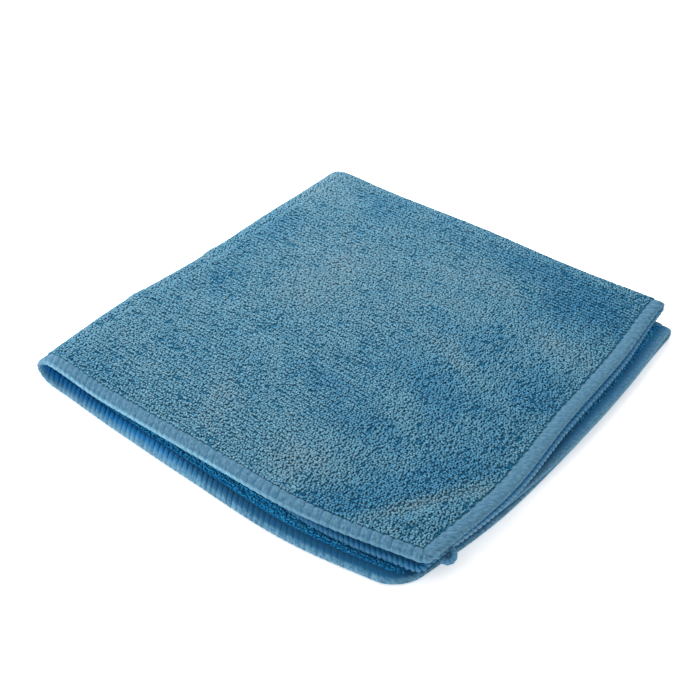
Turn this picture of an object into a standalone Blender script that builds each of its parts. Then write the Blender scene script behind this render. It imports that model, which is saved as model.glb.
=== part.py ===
"""A microfibre cleaning cloth, folded in half and in half again, lying flat.

One square of terry with its overlocked hem, as one closed solid.  The back fold halves the cloth, and the
left fold then wraps its outer half around its inner half, so four layers lie a little apart:

    top      outer half, above: from the left fold and the back fold to its two hems
    second   inner half, above
    third    inner half, below
    bottom   outer half, below, flat on the surface

+X runs from the left fold to the right hems, +Y from the front hems to the back fold, +Z up.
The cloth's own flat places are `across`, from the left fold, and `along`, from the back fold.  Both are
signed: across is positive on the top and second layers, along is positive on the top and bottom layers.
"""
import bpy
import numpy as np

MM = 0.001

# The cloth, laid flat
HALF_ACROSS = 204 * MM
HALF_ALONG = 196 * MM
THICKNESS = 2.6 * MM

# Its corners, rounded by these radii in millimetres: their layer, and the signs of their across and along
CORNER_COLUMNS = ("layer", "across", "along", "radius")
CORNERS = (
    ("top", 1, 1, 3.5),
    ("second", 1, -1, 3.5),
    ("third", -1, -1, 7.0),
    ("bottom", -1, 1, 11.0),
)

# How its layers lie
LAYER_GAP = 0.5 * MM
LEFT_FOLD_SWELL = 0.5 * MM       # what a soft fold adds to half the height of the layers it holds
BACK_FOLD_SWELL = 0.25 * MM
SWELL_REACH = 20 * MM
LEFT_FOLD_DEPTH = 1.7            # the soft left fold is an ellipse, this many times as deep as it is high
LEFT_FOLD_HOLD = 40 * MM         # the folds hold the layers together over these widths
BACK_FOLD_HOLD = 30 * MM
TURN_HOLD = 4 * MM               # and keep them quite still over this one

# How the top layer stands up from the second, and how far the free front hems hang down
LOFT = 1.3 * MM
LOFT_ENDS = (18 * MM, 7 * MM)    # it comes down between these distances from its hems' edges
TOP_DROOP = 0.21                 # drop of its front hem for each metre it reaches past the second layer's
SECOND_DROOP = 1.8 * MM
SECOND_HANG_WIDTH = 8 * MM
SECOND_HANG_STARTS = (0.45, 0.75)    # stations across, over which the second layer's hem comes to hang
SECOND_CORNER = (0.85, 1.0)          # and those over which its corner is held up again
SECOND_CORNER_HELD = 0.5

# Where the folds and hems lie in plan, in millimetres.  Each row is a section: its station is the signed
# fraction of the way from a fold (0) to a hem (1 or -1) at which the section is taken.
# front_outer, front_inner and back_fold are Y at stations of `across`, and the others are X at stations of
# `along`.
PLAN_COLUMNS = (
    "station", "front_outer", "front_inner", "back_fold", "right_upper", "right_lower", "left_fold",
)
PLAN = (
    (-1.00, -104.2, -91.0, 86.0, 93.5, 91.0, -96.5),
    (-0.75, -109.2, -90.0, 91.5, 100.5, 99.8, -98.0),
    (-0.50, -106.5, -89.0, 96.0, 98.5, 103.5, -96.5),
    (-0.25, -102.5, -88.5, 99.5, 97.5, 103.6, -96.0),
    (0.00, -98.0, -88.5, 100.8, 93.4, 101.1, -96.0),
    (0.25, -99.5, -89.5, 99.2, 96.5, 102.1, -97.5),
    (0.50, -101.5, -94.5, 97.8, 97.5, 102.0, -97.5),
    (0.75, -103.0, -101.3, 94.1, 100.0, 99.1, -100.6),
    (1.00, -96.0, -97.5, 93.3, 95.0, 90.0, -98.5),
)

# Soft creases of the top layer, in millimetres and degrees: the middle of each, its half length and half
# width, the bearing of its length from `across` towards the back fold, and its height.
CREASE_COLUMNS = ("name", "across", "along", "half_length", "half_width", "bearing", "height")
CREASES = (
    ("trough across the front corner", 186, 172, 30, 5, 60, -1.2),
    ("hollow in the middle", 95, 110, 60, 22, 15, -0.8),
    ("hollow by the back fold", 140, 45, 40, 14, -20, -0.8),
    ("hollow by the left fold", 30, 125, 14, 40, 10, -0.6),
    ("ridge by the front hem", 120, 172, 30, 8, -5, 0.4),
)

# Knuckles where the left fold stands out, in millimetres
KNUCKLE_COLUMNS = ("along", "half_length", "out")
KNUCKLES = (
    (138, 4.5, 0.9),
    (92, 5.0, 0.9),
)
KNUCKLE_WIDTH = 12 * MM

# The hem's rounded rim, its band, and the sunk needle line beside the pile, in millimetres
HEM_COLUMNS = ("from_edge", "thickness")
HEM = (
    (0.0, 1.1),
    (0.5, 2.0),
    (1.4, 2.4),
    (5.4, 2.4),
    (6.2, 1.8),
    (7.2, 2.6),
)

# Grid of the solid
FOLD_STEPS_ACROSS = 7
FOLD_STEPS_ALONG = 3
FOLD_CLOSENESS_ACROSS = 1.4      # above 1, the steps are closest in the fold's middle
FOLD_CLOSENESS_ALONG = 1.0
BODY_STEPS_ACROSS = 14
BODY_STEPS_ALONG = 13
SLOPE_STEP = 0.1 * MM            # for the slope of the sheet, which its thickness stands square to

# Matt blue microfibre
TERRY_BLUE = (0.089, 0.223, 0.328, 1.0)
TERRY_ROUGHNESS = 0.9

plan = dict(zip(PLAN_COLUMNS, np.array(PLAN).T))
hem = dict(zip(HEM_COLUMNS, np.array(HEM).T))
layer_step = THICKNESS + LAYER_GAP
left_turn_share = np.sqrt((LEFT_FOLD_DEPTH**2 + 1) / 2)      # the ellipse's length over a circle's


def through(column, station):
    """A column of PLAN in metres, as a smooth curve through its stations."""
    values = plan[column] * MM
    slopes = np.gradient(values)
    place = (station + 1) / 2 * (len(values) - 1)
    first = np.clip(place.astype(int), 0, len(values) - 2)
    t = np.clip(place - first, 0, 1)
    rise = 3 * t**2 - 2 * t**3
    start = (1 - rise) * values[first] + (t**3 - 2 * t**2 + t) * slopes[first]
    return start + rise * values[first + 1] + (t**3 - t**2) * slopes[first + 1]


def ease(value, low, high):
    """0 below low, 1 above high, and a smooth ramp between."""
    t = np.clip((value - low) / (high - low), 0, 1)
    return t * t * (3 - 2 * t)


def swell(distance, height, reach):
    """A soft hump of this height that fades over its reach."""
    return height * np.exp(-((distance / reach) ** 2))


def round_corners(across, along):
    """Draws the square's four corners in to quarter discs."""
    radius = np.zeros_like(across)
    for row in CORNERS:
        corner = dict(zip(CORNER_COLUMNS, row))
        here = (across * corner["across"] >= 0) & (along * corner["along"] >= 0)
        radius = np.where(here, corner["radius"] * MM, radius)
    square_a = np.minimum(np.abs(across), HALF_ACROSS - radius)
    square_b = np.minimum(np.abs(along), HALF_ALONG - radius)
    u = (np.abs(across) - square_a) / radius
    v = (np.abs(along) - square_b) / radius
    disc_a = u * np.sqrt(1 - v * v / 2) * radius
    disc_b = v * np.sqrt(1 - u * u / 2) * radius
    return np.sign(across) * (square_a + disc_a), np.sign(along) * (square_b + disc_b)


def crease_height(across, along):
    """The sum of the top layer's soft creases."""
    height = np.zeros_like(across)
    for row in CREASES:
        crease = dict(zip(CREASE_COLUMNS, row))
        bearing = np.radians(crease["bearing"])
        from_a = across / MM - crease["across"]
        from_b = along / MM - crease["along"]
        length = (from_a * np.cos(bearing) - from_b * np.sin(bearing)) / crease["half_length"]
        width = (from_a * np.sin(bearing) + from_b * np.cos(bearing)) / crease["half_width"]
        height += crease["height"] * MM * np.exp(-(length**2) - width**2)
    return height


def settle(across, along):
    """How far the top layer stands up on its loft and creases, less how far the free front hems droop."""
    station = across / HALF_ACROSS
    from_front = HALF_ALONG - np.abs(along)
    from_hem = np.minimum(HALF_ACROSS - np.abs(across), from_front)
    clear_of_folds = ease(across, TURN_HOLD, LEFT_FOLD_HOLD) * ease(along, TURN_HOLD, BACK_FOLD_HOLD)
    lift = clear_of_folds * ease(from_hem, LOFT_ENDS[1], LOFT_ENDS[0]) * (LOFT + crease_height(across, along))

    overhang = np.clip(through("front_inner", station) - through("front_outer", station), MM, None)
    top_hangs = ease(across, 0, LEFT_FOLD_HOLD) * ease(along, 0, BACK_FOLD_HOLD)
    top_hangs = top_hangs * ease(-from_front, -overhang, 0)
    second_hangs = ease(station, *SECOND_HANG_STARTS) * ease(-along, 0, BACK_FOLD_HOLD)
    second_hangs = second_hangs * ease(-from_front, -SECOND_HANG_WIDTH, 0)
    held = SECOND_CORNER_HELD * ease(station, *SECOND_CORNER)
    return lift - TOP_DROOP * overhang * top_hangs - SECOND_DROOP * second_hangs * (1 - held)


def middle(across, along):
    """Places the middle of the cloth's thickness: one U-turn at the back fold, then one at the left fold."""
    across, along = round_corners(across, along)
    station_a = across / HALF_ACROSS
    station_b = along / HALF_ALONG
    reach_a = np.abs(across)
    reach_b = np.abs(along)
    back_radius = layer_step / 2 + swell(reach_b, BACK_FOLD_SWELL, SWELL_REACH)
    turn = np.clip(along / back_radius, -np.pi / 2, np.pi / 2)
    bare_radius = layer_step / 2 + back_radius + back_radius * np.sin(turn)
    past_wrap = np.clip(reach_a - bare_radius * left_turn_share * np.pi / 2, 0, None)
    pair_height = layer_step / 2 + back_radius + swell(past_wrap, LEFT_FOLD_SWELL, SWELL_REACH)

    run = np.clip(reach_b - back_radius * np.pi / 2, 0, None)
    whole_run = HALF_ALONG - back_radius * np.pi / 2
    front = np.where(along > 0, through("front_outer", station_a), through("front_inner", station_a))
    back_axis = through("back_fold", station_a) - back_radius
    y = back_axis + back_radius * np.cos(turn) - run / whole_run * (back_axis - front)

    left_radius = pair_height + back_radius * np.sin(turn)
    left_turn = left_radius * left_turn_share
    wrap = np.clip(across / left_turn, -np.pi / 2, np.pi / 2)
    run = np.clip(reach_a - left_turn * np.pi / 2, 0, None)
    whole_run = HALF_ACROSS - left_turn * np.pi / 2
    right = np.where(across > 0, through("right_upper", station_b), through("right_lower", station_b))
    left_axis = through("left_fold", station_b) + LEFT_FOLD_DEPTH * (pair_height + back_radius)
    for row in KNUCKLES:
        knuckle = dict(zip(KNUCKLE_COLUMNS, row))
        hump = swell(along - knuckle["along"] * MM, knuckle["out"] * MM, knuckle["half_length"] * MM)
        left_axis = left_axis - hump * swell(reach_a, 1, KNUCKLE_WIDTH)
    x = left_axis - LEFT_FOLD_DEPTH * left_radius * np.cos(wrap) + run / whole_run * (right - left_axis)

    z = THICKNESS / 2 + pair_height + back_radius + left_radius * np.sin(wrap) + settle(across, along)
    return np.stack((x, y, z), axis=-1)


def face(across, along, thickness):
    """Places one face of the cloth: the middle, moved square to itself by half the thickness."""
    slope_a = middle(across + SLOPE_STEP, along) - middle(across - SLOPE_STEP, along)
    slope_b = middle(across, along + SLOPE_STEP) - middle(across, along - SLOPE_STEP)
    square = np.cross(slope_b, slope_a)
    square /= np.linalg.norm(square, axis=-1, keepdims=True)
    return middle(across, along) + square * thickness[..., None] / 2


def stations(half, fold_reach, fold_steps, body_steps, closeness):
    """Grid lines from hem to hem: close around the fold, even over the body, and at the hem's own rows."""
    fold = fold_reach * (np.arange(fold_steps + 1) / fold_steps) ** closeness
    band = half - hem["from_edge"][::-1] * MM
    body = np.linspace(fold[-1], band[0], body_steps + 1)[1:-1]
    positive = np.concatenate((fold, body, band))
    return np.concatenate((-positive[:0:-1], positive))


def sheet_triangles(index, same_sign):
    """Cuts each grid cell along the diagonal that points at the nearer corner of the cloth."""
    here, right, far, up = index[:-1, :-1], index[1:, :-1], index[1:, 1:], index[:-1, 1:]
    rising = np.stack((here, right, far, here, far, up), axis=-1)
    falling = np.stack((here, right, up, right, far, up), axis=-1)
    return np.where(same_sign[..., None], rising, falling).reshape(-1, 3)


def rim_triangles(index, under):
    """Joins the edges of the two faces along the four hems."""
    edge = np.concatenate((index[:, 0], index[-1, 1:], index[-2::-1, -1], index[0, -2:0:-1]))
    after = np.roll(edge, -1)
    return np.stack((edge, edge + under, after + under, edge, after + under, after), axis=-1).reshape(-1, 3)


def cloth_mesh():
    """The closed solid: the outer face, the inner face, and the rim between them."""
    left_turn = (1.5 * layer_step + LEFT_FOLD_SWELL + BACK_FOLD_SWELL) * left_turn_share * np.pi / 2
    back_turn = (0.5 * layer_step + BACK_FOLD_SWELL) * np.pi / 2
    lines_a = stations(HALF_ACROSS, left_turn, FOLD_STEPS_ACROSS, BODY_STEPS_ACROSS, FOLD_CLOSENESS_ACROSS)
    lines_b = stations(HALF_ALONG, back_turn, FOLD_STEPS_ALONG, BODY_STEPS_ALONG, FOLD_CLOSENESS_ALONG)
    across, along = np.meshgrid(lines_a, lines_b, indexing="ij")
    from_edge = np.minimum(HALF_ACROSS - np.abs(across), HALF_ALONG - np.abs(along))
    thickness = np.interp(from_edge / MM, hem["from_edge"], hem["thickness"]) * MM
    points = np.concatenate((face(across, along, thickness).reshape(-1, 3),
                             face(across, along, -thickness).reshape(-1, 3)))

    index = np.arange(across.size).reshape(across.shape)
    same_sign = np.outer(lines_a[:-1] + lines_a[1:], lines_b[:-1] + lines_b[1:]) > 0
    sheet = sheet_triangles(index, same_sign)
    rim = rim_triangles(index, across.size)
    triangles = np.concatenate((sheet[:, ::-1], sheet + across.size, rim[:, ::-1]))
    mesh = bpy.data.meshes.new("cloth")
    mesh.from_pydata(points.tolist(), [], triangles.tolist())
    mesh.shade_smooth()
    return mesh


def terry_blue():
    """The cloth's one material."""
    material = bpy.data.materials.new("terry_blue")
    material.use_nodes = True
    shader = material.node_tree.nodes["Principled BSDF"]
    shader.inputs["Base Color"].default_value = TERRY_BLUE
    shader.inputs["Roughness"].default_value = TERRY_ROUGHNESS
    shader.inputs["Metallic"].default_value = 0.0
    return material


for old in list(bpy.data.objects):
    bpy.data.objects.remove(old, do_unlink=True)

cloth = bpy.data.objects.new("cloth", cloth_mesh())
cloth.data.materials.append(terry_blue())
bpy.context.scene.collection.objects.link(cloth)
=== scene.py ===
# %% [markdown]
# # A microfibre cleaning cloth, folded in four
#
# The real cloth is one square of blue terry, about 400 by 400 mm, with an overlocked hem.  It is folded in
# half and then in half again, and lies flat.  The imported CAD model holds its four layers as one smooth
# solid, at the full height of the pile.  This lesson replaces that solid with what the eye sees: a thin
# backing on the same folds, loops of pile on its faces, and sewn thread along its edges.
#
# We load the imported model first.  It is the fixed frame, so every piece is worked out in its metres, with
# +Z up, and none is fitted by hand afterwards.

import bpy
import numpy as np
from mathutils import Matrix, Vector


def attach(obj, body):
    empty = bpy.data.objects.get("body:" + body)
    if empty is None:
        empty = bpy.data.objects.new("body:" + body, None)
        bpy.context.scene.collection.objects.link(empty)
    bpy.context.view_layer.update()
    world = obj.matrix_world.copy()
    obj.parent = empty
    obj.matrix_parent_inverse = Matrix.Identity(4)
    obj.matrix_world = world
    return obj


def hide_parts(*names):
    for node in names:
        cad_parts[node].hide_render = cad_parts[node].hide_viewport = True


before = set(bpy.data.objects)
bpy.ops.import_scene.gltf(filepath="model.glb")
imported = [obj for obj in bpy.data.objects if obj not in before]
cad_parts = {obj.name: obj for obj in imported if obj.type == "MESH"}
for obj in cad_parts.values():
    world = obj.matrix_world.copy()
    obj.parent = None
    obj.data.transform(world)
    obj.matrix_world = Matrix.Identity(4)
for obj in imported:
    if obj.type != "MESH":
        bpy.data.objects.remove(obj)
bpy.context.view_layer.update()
MM = 0.001

# %% [markdown]
# ## The folds
#
# A place on the flat cloth is `across`, from the left fold, and `along`, from the back fold.  Both are
# signed, so their signs name the layer: the top layer has both positive.  Two U-turns carry the flat cloth
# into its folded shape, one round the back fold and one round the left fold.  The real cloth lies unevenly,
# so short tables say where its folds and hems are at nine stations, and soft creases move the top layer.
#
# The fold could be simulated, but a simulation would not land on the photograph's outline.  A formula does,
# and it is the one that the solid was made with, so the dressed cloth stays in the solid's place.

# %% Sizes of the cloth and of its folds
HALF_ACROSS = 204 * MM
HALF_ALONG = 196 * MM
THICKNESS = 2.6 * MM
CORNER_COLUMNS = ("layer", "across", "along", "radius")
CORNERS = (
    ("top", 1, 1, 3.5),
    ("second", 1, -1, 3.5),
    ("third", -1, -1, 7.0),
    ("bottom", -1, 1, 11.0),
)
LAYER_GAP = 0.5 * MM
LEFT_FOLD_SWELL = 0.5 * MM
BACK_FOLD_SWELL = 0.25 * MM
SWELL_REACH = 20 * MM
LEFT_FOLD_DEPTH = 1.7
LEFT_FOLD_HOLD = 40 * MM
BACK_FOLD_HOLD = 30 * MM
TURN_HOLD = 4 * MM
LOFT = 1.3 * MM
LOFT_ENDS = (18 * MM, 7 * MM)
TOP_DROOP = 0.21
SECOND_DROOP = 1.8 * MM
SECOND_HANG_WIDTH = 8 * MM
SECOND_HANG_STARTS = (0.45, 0.75)
SECOND_CORNER = (0.85, 1.0)
SECOND_CORNER_HELD = 0.5
layer_step = THICKNESS + LAYER_GAP
left_turn_share = np.sqrt((LEFT_FOLD_DEPTH**2 + 1) / 2)

PLAN_COLUMNS = (
    "station", "front_outer", "front_inner", "back_fold", "right_upper", "right_lower", "left_fold",
)
PLAN = (
    (-1.00, -104.2, -91.0, 86.0, 93.5, 91.0, -96.5),
    (-0.75, -109.2, -90.0, 91.5, 100.5, 99.8, -98.0),
    (-0.50, -106.5, -89.0, 96.0, 98.5, 103.5, -96.5),
    (-0.25, -102.5, -88.5, 99.5, 97.5, 103.6, -96.0),
    (0.00, -98.0, -88.5, 100.8, 93.4, 101.1, -96.0),
    (0.25, -99.5, -89.5, 99.2, 96.5, 102.1, -97.5),
    (0.50, -101.5, -94.5, 97.8, 97.5, 102.0, -97.5),
    (0.75, -103.0, -101.3, 94.1, 100.0, 99.1, -100.6),
    (1.00, -96.0, -97.5, 93.3, 95.0, 90.0, -98.5),
)
plan = dict(zip(PLAN_COLUMNS, np.array(PLAN).T))

# %% Creases of the top layer and knuckles of the left fold, in millimetres
CREASE_COLUMNS = ("name", "across", "along", "half_length", "half_width", "bearing", "height")
CREASES = (
    ("trough across the front corner", 186, 172, 30, 5, 60, -1.2),
    ("hollow in the middle", 95, 110, 60, 22, 15, -0.8),
    ("hollow by the back fold", 140, 45, 40, 14, -20, -0.8),
    ("hollow by the left fold", 30, 125, 14, 40, 10, -0.6),
    ("ridge by the front hem", 120, 172, 30, 8, -5, 0.4),
)
KNUCKLE_COLUMNS = ("along", "half_length", "out")
KNUCKLES = (
    (138, 4.5, 0.9),
    (92, 5.0, 0.9),
)
KNUCKLE_WIDTH = 12 * MM
print(len(PLAN), "stations,", len(CREASES), "creases,", len(KNUCKLES), "knuckles")

# %% Curves and ramps


def through(column, station):
    """A column of PLAN in metres: a smooth cubic through its nine stations."""
    values = plan[column] * MM
    slopes = np.gradient(values)
    place = (station + 1) / 2 * (len(values) - 1)
    first = np.clip(place.astype(int), 0, len(values) - 2)
    t = np.clip(place - first, 0, 1)
    rise = 3 * t**2 - 2 * t**3
    start = (1 - rise) * values[first] + (t**3 - 2 * t**2 + t) * slopes[first]
    return start + rise * values[first + 1] + (t**3 - t**2) * slopes[first + 1]


def ease(value, low, high):
    """0 below low, 1 above high, and a smooth ramp between: 3 t squared less 2 t cubed."""
    t = np.clip((value - low) / (high - low), 0, 1)
    return t * t * (3 - 2 * t)


def swell(distance, height, reach):
    """A bell: height times e to the minus (distance over reach) squared."""
    return height * np.exp(-((distance / reach) ** 2))


# %% [markdown]
# ## Soft forms as tables
#
# A crease, a hollow and a patch of flattened pile are all the same shape in the cloth: an oval bell with a
# length, a width and a bearing.  One function serves them all.

# %% Oval bells on the flat cloth


def bells(across, along, columns, rows, value):
    """The sum of oval bells, each its value times e to the minus (length squared plus width squared)."""
    total = np.zeros_like(across)
    for row in rows:
        bell = dict(zip(columns, row))
        bearing = np.radians(bell["bearing"])
        from_a = across / MM - bell["across"]
        from_b = along / MM - bell["along"]
        length = (from_a * np.cos(bearing) - from_b * np.sin(bearing)) / bell["half_length"]
        width = (from_a * np.sin(bearing) + from_b * np.cos(bearing)) / bell["half_width"]
        total += bell[value] * np.exp(-(length**2) - width**2)
    return total


def settle(across, along):
    """Height of the top layer on its loft and creases, less the droop of the free front hems."""
    station = across / HALF_ACROSS
    from_front = HALF_ALONG - np.abs(along)
    from_hem = np.minimum(HALF_ACROSS - np.abs(across), from_front)
    clear_of_folds = ease(across, TURN_HOLD, LEFT_FOLD_HOLD) * ease(along, TURN_HOLD, BACK_FOLD_HOLD)
    creased = LOFT + bells(across, along, CREASE_COLUMNS, CREASES, "height") * MM
    lift = clear_of_folds * ease(from_hem, LOFT_ENDS[1], LOFT_ENDS[0]) * creased

    overhang = np.clip(through("front_inner", station) - through("front_outer", station), MM, None)
    top_hangs = ease(across, 0, LEFT_FOLD_HOLD) * ease(along, 0, BACK_FOLD_HOLD)
    top_hangs = top_hangs * ease(-from_front, -overhang, 0)
    second_hangs = ease(station, *SECOND_HANG_STARTS) * ease(-along, 0, BACK_FOLD_HOLD)
    second_hangs = second_hangs * ease(-from_front, -SECOND_HANG_WIDTH, 0)
    held = SECOND_CORNER_HELD * ease(station, *SECOND_CORNER)
    return lift - TOP_DROOP * overhang * top_hangs - SECOND_DROOP * second_hangs * (1 - held)


# %% From the flat cloth to the folded one


def folded(across, along):
    """The middle of the cloth's thickness.

    y runs from the back fold's axis, round a half circle, then evenly to the front hem.  x does the same
    from the left fold, on a radius that the first turn sets.  z is the sum of both turns and the settling.
    """
    station_a = across / HALF_ACROSS
    station_b = along / HALF_ALONG
    reach_a = np.abs(across)
    reach_b = np.abs(along)
    back_radius = layer_step / 2 + swell(reach_b, BACK_FOLD_SWELL, SWELL_REACH)
    turn = np.clip(along / back_radius, -np.pi / 2, np.pi / 2)
    bare_radius = layer_step / 2 + back_radius + back_radius * np.sin(turn)
    past_wrap = np.clip(reach_a - bare_radius * left_turn_share * np.pi / 2, 0, None)
    pair_height = layer_step / 2 + back_radius + swell(past_wrap, LEFT_FOLD_SWELL, SWELL_REACH)

    run = np.clip(reach_b - back_radius * np.pi / 2, 0, None)
    whole_run = HALF_ALONG - back_radius * np.pi / 2
    front = np.where(along > 0, through("front_outer", station_a), through("front_inner", station_a))
    back_axis = through("back_fold", station_a) - back_radius
    y = back_axis + back_radius * np.cos(turn) - run / whole_run * (back_axis - front)

    left_radius = pair_height + back_radius * np.sin(turn)
    left_turn = left_radius * left_turn_share
    wrap = np.clip(across / left_turn, -np.pi / 2, np.pi / 2)
    run = np.clip(reach_a - left_turn * np.pi / 2, 0, None)
    whole_run = HALF_ACROSS - left_turn * np.pi / 2
    right = np.where(across > 0, through("right_upper", station_b), through("right_lower", station_b))
    left_axis = through("left_fold", station_b) + LEFT_FOLD_DEPTH * (pair_height + back_radius)
    for row in KNUCKLES:
        knuckle = dict(zip(KNUCKLE_COLUMNS, row))
        hump = swell(along - knuckle["along"] * MM, knuckle["out"] * MM, knuckle["half_length"] * MM)
        left_axis = left_axis - hump * swell(reach_a, 1, KNUCKLE_WIDTH)
    x = left_axis - LEFT_FOLD_DEPTH * left_radius * np.cos(wrap) + run / whole_run * (right - left_axis)

    z = THICKNESS / 2 + pair_height + back_radius + left_radius * np.sin(wrap) + settle(across, along)
    return np.stack((x, y, z), axis=-1)


# %% [markdown]
# ## A little frame at every place
#
# Pile and thread stand on the cloth, so each needs to know which way the cloth runs and faces there.  The
# three directions come from the slopes of the folded surface, taken a tenth of a millimetre to each side.

# %% Directions on the folded cloth
SLOPE_STEP = 0.1 * MM


def unit(vectors):
    """Each vector over its own length."""
    return vectors / np.linalg.norm(vectors, axis=-1, keepdims=True)


def standing(across, along):
    """(middle, direction of across, direction of along, outward direction) at each place."""
    slope_a = folded(across + SLOPE_STEP, along) - folded(across - SLOPE_STEP, along)
    slope_b = folded(across, along + SLOPE_STEP) - folded(across, along - SLOPE_STEP)
    out = unit(np.cross(slope_b, slope_a))
    run_a = unit(slope_a)
    return folded(across, along), run_a, np.cross(run_a, out), out


top_a, top_b = np.meshgrid(np.linspace(0, HALF_ACROSS, 200), np.linspace(0, HALF_ALONG, 200))
highest = folded(top_a, top_b)[..., 2].max()
print("highest place of the middle, mm:", round(float(highest) / MM, 2))

# %% [markdown]
# ## Whole arrays into a mesh
#
# Blender takes a mesh fastest as flat arrays.  Colours that belong to places on the cloth, such as how
# flattened its pile is, go in as an attribute on the points, and the materials read it back.

# %% Put arrays into an object


def put(name, points, faces, material, marks=None, uv=None):
    """A new object at the origin with these points and faces; marks are four numbers for each point."""
    mesh = bpy.data.meshes.new(name)
    count, corners = faces.shape
    mesh.vertices.add(len(points))
    mesh.vertices.foreach_set("co", points.astype(np.float32).ravel())
    mesh.loops.add(count * corners)
    mesh.loops.foreach_set("vertex_index", faces.astype(np.int32).ravel())
    mesh.polygons.add(count)
    mesh.polygons.foreach_set("loop_start", np.arange(0, count * corners, corners, dtype=np.int32))
    mesh.update(calc_edges=True)
    if marks is not None:
        colours = mesh.attributes.new("marks", "FLOAT_COLOR", "POINT")
        colours.data.foreach_set("color", marks.astype(np.float32).ravel())
    if uv is not None:
        layer = mesh.uv_layers.new(name="run")
        layer.data.foreach_set("uv", uv[faces.ravel()].astype(np.float32).ravel())
    mesh.shade_smooth()
    mesh.validate()
    made = bpy.data.objects.new(name, mesh)
    bpy.context.scene.collection.objects.link(made)
    made.data.materials.append(material)
    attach(made, "root")
    mesh.calc_loop_triangles()
    print(f"{name}: {len(points)} points, {len(mesh.loop_triangles)} triangles")
    return made


# %% [markdown]
# ## Terry yarn
#
# Microfibre is split polyester: dull, soft at its edge, and a deep blue where light has to pass from thread
# to thread.  A flat blue would look like paint.  The material mixes three colours by the marks on the
# points: painted shade in the gaps, the body of the yarn, and a painted highlight on its tips.  A second
# mark says how flattened the pile is, and flattened pile shows the sides of its fibres, so it is paler and
# greyer.
# A third says how upright it stands, and paints standing pile darker and bluer with shade.  A fourth says
# how deep it lies between two layers, and paints there the blue light that bounces from blue to blue.
# Sheen gives the bloom of fine fibre ends, and a fine noise breaks the surface of the yarn.

# %% Node helpers


def new_material(name):
    """(material, its nodes, its links, its Principled shader)"""
    material = bpy.data.materials.new(name)
    material.use_nodes = True
    nodes = material.node_tree.nodes
    return material, nodes, material.node_tree.links, nodes["Principled BSDF"]


def mixed(nodes, links, factor, first, second, blend="MIX"):
    """A colour mix; the factor is a number or a socket, and each colour is four numbers or a socket."""
    mix = nodes.new("ShaderNodeMix")
    mix.data_type = "RGBA"
    mix.blend_type = blend
    if isinstance(factor, float):
        mix.inputs["Factor"].default_value = factor
    else:
        links.new(factor, mix.inputs["Factor"])
    for socket, colour in (("A", first), ("B", second)):
        target = [s for s in mix.inputs if s.name == socket and s.type == "RGBA"][0]
        if isinstance(colour, tuple):
            target.default_value = colour
        else:
            links.new(colour, target)
    return [s for s in mix.outputs if s.type == "RGBA"][0]


def ramped(nodes, links, value, low, high):
    """A number carried from low..high to 0..1, smoothly."""
    node = nodes.new("ShaderNodeMapRange")
    node.interpolation_type = "SMOOTHSTEP"
    node.inputs["From Min"].default_value = low
    node.inputs["From Max"].default_value = high
    links.new(value, node.inputs["Value"])
    return node.outputs["Result"]


def four_marks(nodes, links):
    """The sockets of the four marks that put() wrote on the points."""
    marks = nodes.new("ShaderNodeAttribute")
    marks.attribute_name = "marks"
    parts = nodes.new("ShaderNodeSeparateColor")
    links.new(marks.outputs["Color"], parts.inputs["Color"])
    return *parts.outputs, marks.outputs["Alpha"]


def noise(nodes, links, place, scale, detail, stretch=None):
    """Noise at a place; `stretch` first scales the place by its own number for each direction."""
    if stretch:
        mapping = nodes.new("ShaderNodeMapping")
        mapping.inputs["Scale"].default_value = stretch
        links.new(place, mapping.inputs["Vector"])
        place = mapping.outputs["Vector"]
    texture = nodes.new("ShaderNodeTexNoise")
    texture.inputs["Scale"].default_value = scale
    texture.inputs["Detail"].default_value = detail
    links.new(place, texture.inputs["Vector"])
    return texture.outputs["Fac"]


def dull_fibre(nodes, links, shader, colour, settings, sheen_tint, height, bump):
    """Sets a rough shader with a bloom of fine ends, and raises its surface by a noise's height."""
    links.new(colour, shader.inputs["Base Color"])
    for name, value in settings.items():
        shader.inputs[name].default_value = value
    shader.inputs["Sheen Tint"].default_value = sheen_tint
    raised = nodes.new("ShaderNodeBump")
    raised.inputs["Strength"].default_value, raised.inputs["Distance"].default_value = bump
    links.new(height, raised.inputs["Height"])
    links.new(raised.outputs["Normal"], shader.inputs["Normal"])


# %% The yarn's material
# The gap colours are painted shade and the tip colours painted highlights; the first mark picks them by
# height.
YARN_GAP_SHADE = (0.001, 0.098, 0.190, 1.0)
YARN_BODY = (0.090, 0.226, 0.316, 1.0)
YARN_LIT_TIP = (0.145, 0.278, 0.355, 1.0)
# Standing pile is painted darker and bluer with shade, for its deeper gaps.
STANDING_PAINTED_SHADE = (0.53, 0.80, 0.94, 1.0)
FLAT_GAP_SHADE = (0.060, 0.158, 0.225, 1.0)
FLAT_LIT_TIP = (0.125, 0.228, 0.290, 1.0)
# Pile and backing that lie between two layers are painted with the saturated blue light that bounces from
# blue to blue there.
BOUNCE_BLUE_TINT = (0.32, 1.70, 2.30, 1.0)
CLOUD_TINTS = ((0.93, 0.99, 1.02, 1.0), (1.08, 1.01, 0.98, 1.0))
CLOUD_SCALE = 280
FIBRE_SCALE = 2600
YARN_SHEEN_TINT = (0.35, 0.75, 1.0, 1.0)
YARN_BUMP = (0.5, 0.15 * MM)
YARN_SETTINGS = {
    "Roughness": 0.9, "Specular IOR Level": 0.1, "Sheen Weight": 0.12, "Sheen Roughness": 0.5,
}


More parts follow.
